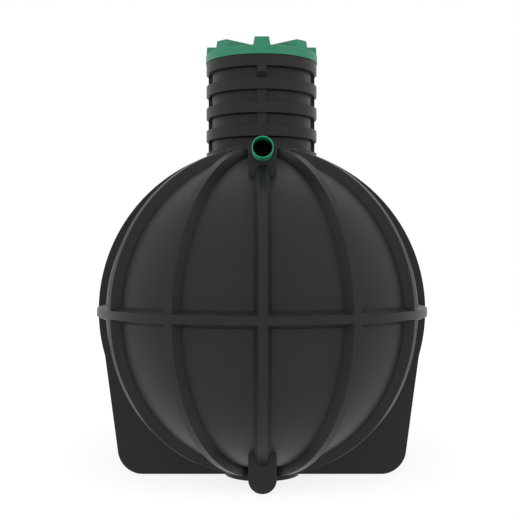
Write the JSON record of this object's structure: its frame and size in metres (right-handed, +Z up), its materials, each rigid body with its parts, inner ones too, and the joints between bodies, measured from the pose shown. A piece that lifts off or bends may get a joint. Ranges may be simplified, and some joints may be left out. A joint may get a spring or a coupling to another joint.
{
  "type": "septic tank",
  "caption": "Buried septic tank: a ribbed capsule body on flat feet, with a corrugated manhole neck, a ribbed lift-off lid and plain pipe stubs high on its round ends.",
  "frame": {"origin": "on the ground under the middle of the tank, at the centre of its underside", "axes": "+Z up, +Y along the tank from the inlet end to the outlet end, +X to the right seen from the inlet"},
  "size_m": [1.88, 2.8396, 2.5568],
  "materials": {
    "body": "satin moulded",
    "neck": "satin moulded",
    "lid": "satin moulded",
    "pipe": "smooth extruded"
  },
  "bodies": {
    "tank": {"front_band": "body", "back_band": "body", "left_band": "body", "right_band": "body", "front_upper_ribs": "body", "front_lower_ribs": "body", "back_upper_ribs": "body", "back_lower_ribs": "body", "side_upper_ribs": "body", "side_lower_ribs": "body", "front_upper_hoop": "body", "back_upper_hoop": "body", "front_left_foot": "body", "front_right_foot": "body", "back_left_foot": "body", "back_right_foot": "body", "top_strip": "body", "bottom_strip": "body", "inlet_boss": "body", "outlet_boss": "body", "front_toe_boss": "body", "back_toe_boss": "body", "front_upper_panels": "body", "front_lower_panels": "body", "back_upper_panels": "body", "back_lower_panels": "body", "left_upper_panels": "body", "left_lower_panels": "body", "right_upper_panels": "body", "right_lower_panels": "body", "neck_riser": "neck", "neck_ribs": "neck", "inlet_pipe": "pipe", "outlet_pipe": "pipe"},
    "lid": {"lid_cover": "lid", "lid_ribs": "lid"}
  },
  "joints": [
    {"name": "lid_lift", "type": "slide", "parent": "tank", "child": "lid", "axis": [0, 0, 1], "range_m": [0, 0.35]}
  ]
}
